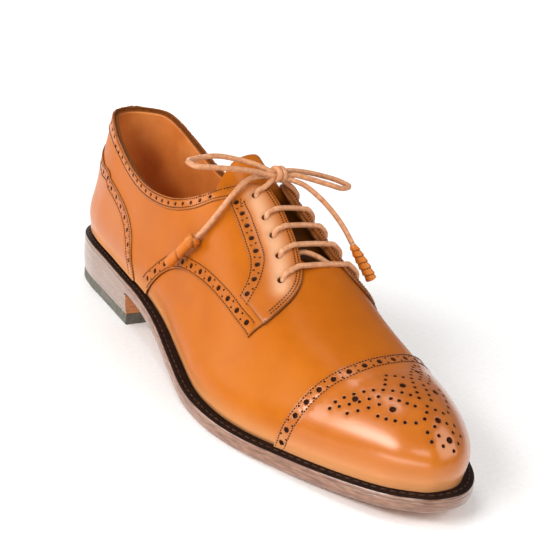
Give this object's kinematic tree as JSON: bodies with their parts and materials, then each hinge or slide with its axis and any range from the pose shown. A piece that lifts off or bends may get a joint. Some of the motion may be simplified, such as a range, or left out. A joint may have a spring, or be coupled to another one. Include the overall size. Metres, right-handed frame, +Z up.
{
  "type": "derby shoe",
  "caption": "Cap-toe leather derby shoe for the right foot, with a hollow lasted upper, brogue overlays, a tied lace, a welted sole and a stacked heel.",
  "frame": {"origin": "on the floor, under the middle of the sole's length and width", "axes": "+X from heel to toe, +Y towards the inner side of the foot, +Z up"},
  "size_m": [0.304, 0.1026, 0.1088],
  "materials": {
    "calf": "polished tan calf",
    "lining": "smooth lining leather",
    "welt": "dark stained welt leather",
    "sole": "waxed sole leather edge",
    "heel": "waxed stacked leather",
    "rubber": "matt heel rubber",
    "lace": "waxed round cotton cord",
    "tassel": "rolled leather strip"
  },
  "bodies": {
    "root": {"outsole": "sole", "welt": "welt", "insole": "lining", "heel_stack": "heel", "heel_top_lift": "rubber", "upper": "calf", "toe_cap": "calf", "quarter_outer": "calf", "quarter_inner": "calf", "eyestay_outer": "calf", "eyestay_inner": "calf", "heel_counter": "calf", "collar_band": "calf", "tongue": "calf", "lace_bar_1": "lace", "lace_bar_2": "lace", "lace_bar_3": "lace", "lace_bar_4": "lace", "lace_knot": "lace", "lace_loop_outer": "lace", "lace_loop_inner": "lace", "lace_end_outer": "lace", "lace_end_inner": "lace", "lace_tip_outer": "tassel", "lace_tip_inner": "tassel"}
  },
  "joints": []
}
